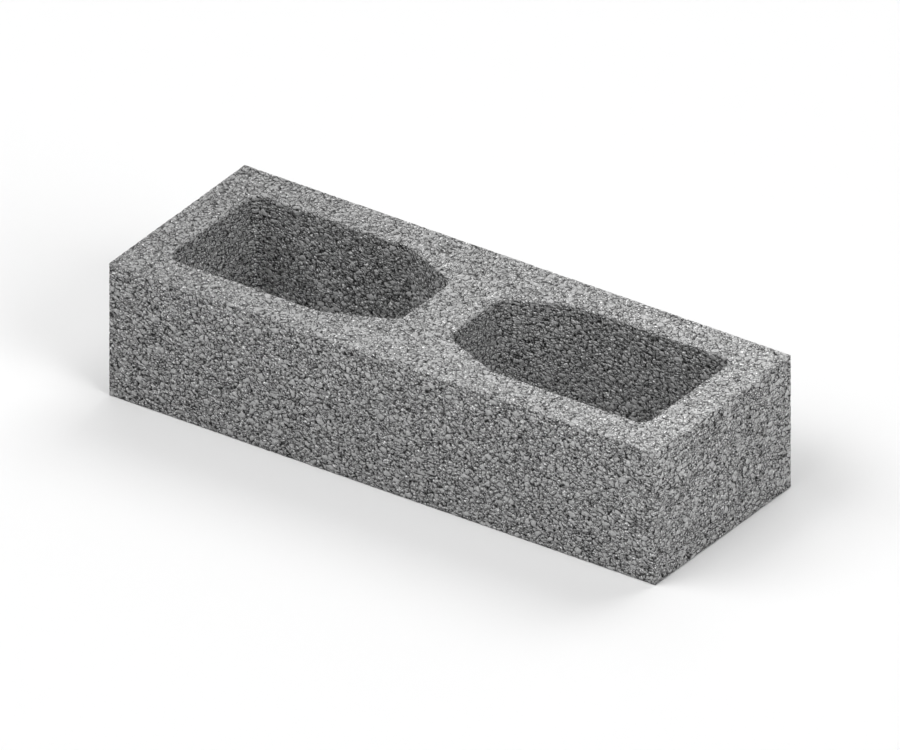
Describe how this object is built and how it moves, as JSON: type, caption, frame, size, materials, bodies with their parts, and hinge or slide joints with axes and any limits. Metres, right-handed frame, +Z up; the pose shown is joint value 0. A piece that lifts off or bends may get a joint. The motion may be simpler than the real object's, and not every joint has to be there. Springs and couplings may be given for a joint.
{
  "type": "half-height two-core concrete block",
  "caption": "Low rectangular hollow concrete masonry block, with tapered through cores beside a thick centre web, for laying in mortar as a half-height course.",
  "frame": {"origin": "middle of the lower bed face, the face that the block rests on", "axes": "+X along the block's length, +Y across its width, +Z up from the lower bed face to the upper one"},
  "size_m": [0.39, 0.14, 0.09],
  "materials": {
    "concrete": "matte"
  },
  "bodies": {
    "root": {"block": "concrete"}
  },
  "joints": []
}
